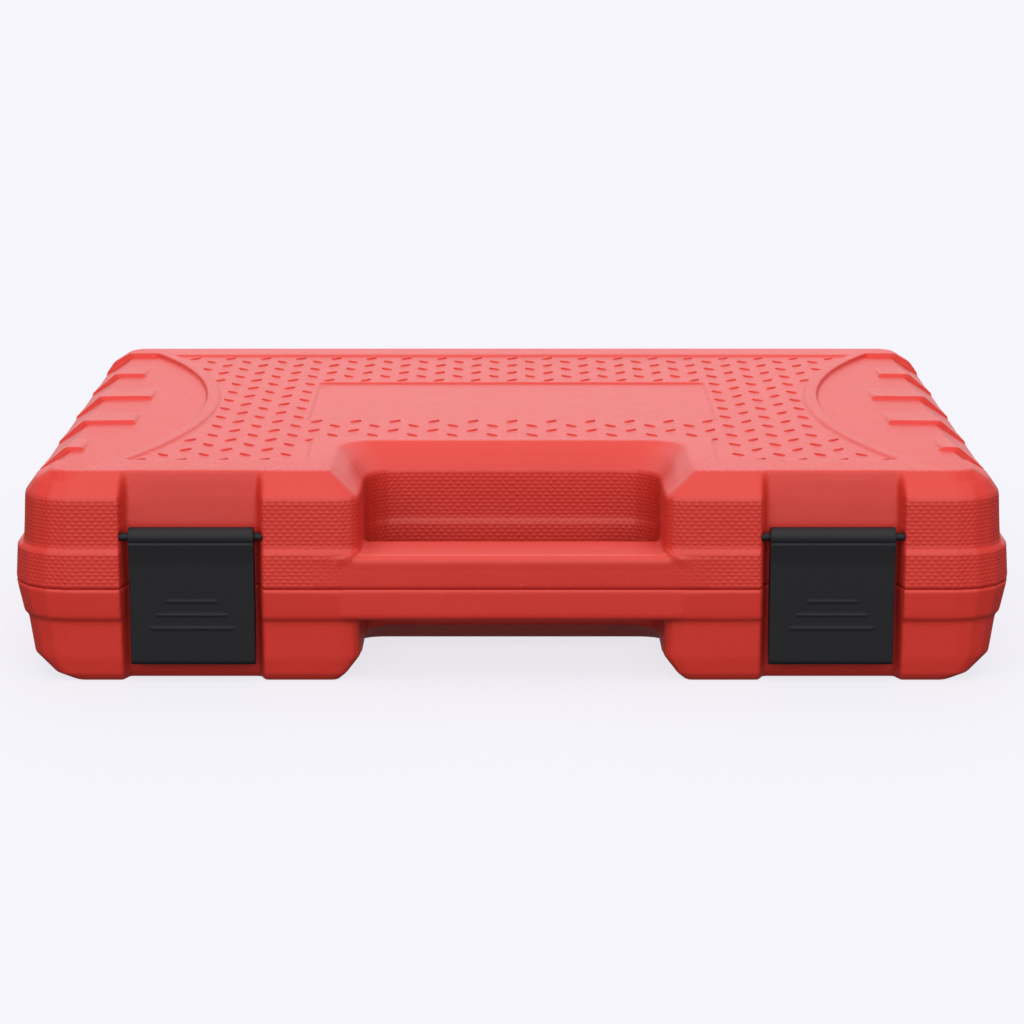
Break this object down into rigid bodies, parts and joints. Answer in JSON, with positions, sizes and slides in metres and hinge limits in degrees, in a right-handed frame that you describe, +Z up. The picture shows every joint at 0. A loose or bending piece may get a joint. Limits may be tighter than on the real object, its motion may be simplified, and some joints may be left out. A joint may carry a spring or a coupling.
{
  "type": "socket wrench set in case",
  "caption": "Hinged moulded carrying case with handle bar and two snap latches, holding ratchets, sockets, extension bars, bits and keys in a fitted tray.",
  "frame": {"origin": "middle of the case's footprint, on the surface it lies on", "axes": "+X along the case's width to the right, -Y towards the handle, +Z up"},
  "size_m": [0.387, 0.3036, 0.082],
  "materials": {
    "case_red": "blow-moulded polyethylene, satin with pebble grain",
    "latch_black": "injection-moulded polypropylene, satin",
    "pin_steel": "bright steel",
    "tool_chrome": "satin chrome plate on chrome-vanadium steel",
    "tool_steel": "tool steel, dark satin",
    "grip_black": "moulded grip, matt",
    "grip_rubber": "matt rubber"
  },
  "bodies": {
    "base": {"base_shell": "case_red", "base_tray": "case_red", "hinge_pin_left": "pin_steel", "hinge_pin_right": "pin_steel", "socket_32mm": "tool_chrome", "socket_30mm": "tool_chrome", "socket_27mm": "tool_chrome", "socket_24mm": "tool_chrome", "socket_22mm": "tool_chrome", "socket_19mm": "tool_chrome", "socket_17mm": "tool_chrome", "socket_14mm": "tool_chrome", "socket_13mm": "tool_chrome", "socket_12mm": "tool_chrome", "socket_10mm": "tool_chrome", "small_socket_13mm": "tool_chrome", "small_socket_12mm": "tool_chrome", "small_socket_10mm": "tool_chrome", "small_socket_08mm": "tool_chrome", "small_socket_07mm": "tool_chrome", "small_socket_06mm": "tool_chrome", "small_socket_05mm": "tool_chrome", "extension_long": "tool_chrome", "extension_short": "tool_chrome", "extension_small": "tool_chrome", "spark_plug_socket_21mm": "tool_chrome", "spark_plug_socket_16mm": "tool_chrome", "spinner_shaft": "tool_chrome", "t_handle_bar": "tool_chrome", "bit_adapter": "tool_chrome", "extension_balls": "pin_steel", "spark_plug_rings": "grip_rubber", "spinner_grip": "grip_black", "screwdriver_bits": "tool_steel", "hex_keys": "tool_steel", "ratchet_body": "tool_chrome", "ratchet_grip": "grip_black", "ratchet_cover": "tool_chrome", "ratchet_screws": "tool_steel", "small_ratchet_body": "tool_chrome", "small_ratchet_grip": "grip_black", "small_ratchet_cover": "tool_chrome", "small_ratchet_screws": "tool_steel"},
    "lid": {"lid_shell": "case_red", "lid_liner": "case_red", "latch_pin_left": "latch_black", "latch_pin_right": "latch_black"},
    "latch_left": {"latch_left": "latch_black"},
    "latch_right": {"latch_right": "latch_black"},
    "ratchet_drive": {"ratchet_drive": "tool_chrome", "ratchet_ball": "pin_steel"},
    "ratchet_button": {"ratchet_button": "tool_steel"},
    "ratchet_lever": {"ratchet_lever": "tool_chrome"},
    "ratchet_pawl": {"ratchet_pawl": "tool_steel"},
    "small_ratchet_drive": {"small_ratchet_drive": "tool_chrome", "small_ratchet_ball": "pin_steel"},
    "small_ratchet_button": {"small_ratchet_button": "tool_steel"},
    "small_ratchet_lever": {"small_ratchet_lever": "tool_chrome"},
    "small_ratchet_pawl": {"small_ratchet_pawl": "tool_steel"},
    "t_handle_head": {"t_handle_head": "tool_chrome"}
  },
  "joints": [
    {"name": "lid_hinge", "type": "hinge", "parent": "base", "child": "lid", "pos_m": [0, 0.147, 0.0376], "axis": [-1, 0, 0], "range_deg": [0, 178]},
    {"name": "latch_left_hinge", "type": "hinge", "parent": "lid", "child": "latch_left", "pos_m": [-0.123, -0.1478, 0.0576], "axis": [-1, 0, 0], "range_deg": [0, 110]},
    {"name": "latch_right_hinge", "type": "hinge", "parent": "lid", "child": "latch_right", "pos_m": [0.123, -0.1478, 0.0576], "axis": [-1, 0, 0], "range_deg": [0, 110]},
    {"name": "ratchet_drive_spin", "type": "hinge", "parent": "base", "child": "ratchet_drive", "pos_m": [-0.113, -0.062, 0.034], "axis": [0, 0, 1], "continuous": true},
    {"name": "ratchet_button_press", "type": "slide", "parent": "ratchet_drive", "child": "ratchet_button", "axis": [0, 0, -1], "range_m": [0, 0.0024], "stiffness_N_per_m": 300, "springref_m": -0.001},
    {"name": "ratchet_lever_turn", "type": "hinge", "parent": "base", "child": "ratchet_lever", "pos_m": [-0.0965, -0.062, 0.034], "axis": [0, 0, 1], "range_deg": [0, 40]},
    {"name": "ratchet_pawl_turn", "type": "hinge", "parent": "base", "child": "ratchet_pawl", "pos_m": [-0.0965, -0.062, 0.034], "axis": [0, 0, 1], "range_deg": [0, 8]},
    {"name": "small_ratchet_drive_spin", "type": "hinge", "parent": "base", "child": "small_ratchet_drive", "pos_m": [-0.159, 0.003, 0.034], "axis": [0, 0, 1], "continuous": true},
    {"name": "small_ratchet_button_press", "type": "slide", "parent": "small_ratchet_drive", "child": "small_ratchet_button", "axis": [0, 0, -1], "range_m": [0, 0.0012], "stiffness_N_per_m": 300, "springref_m": -0.001},
    {"name": "small_ratchet_lever_turn", "type": "hinge", "parent": "base", "child": "small_ratchet_lever", "pos_m": [-0.15075, 0.003, 0.034], "axis": [0, 0, 1], "range_deg": [0, 40]},
    {"name": "small_ratchet_pawl_turn", "type": "hinge", "parent": "base", "child": "small_ratchet_pawl", "pos_m": [-0.15075, 0.003, 0.034], "axis": [0, 0, 1], "range_deg": [0, 8]},
    {"name": "t_handle_head_slide", "type": "slide", "parent": "base", "child": "t_handle_head", "axis": [1, 0, 0], "range_m": [-0.042, 0.042]}
  ],
  "couplings": [
    {"joint": "ratchet_pawl_turn", "follows": "ratchet_lever_turn", "ratio": 0.2},
    {"joint": "small_ratchet_pawl_turn", "follows": "small_ratchet_lever_turn", "ratio": 0.2}
  ]
}
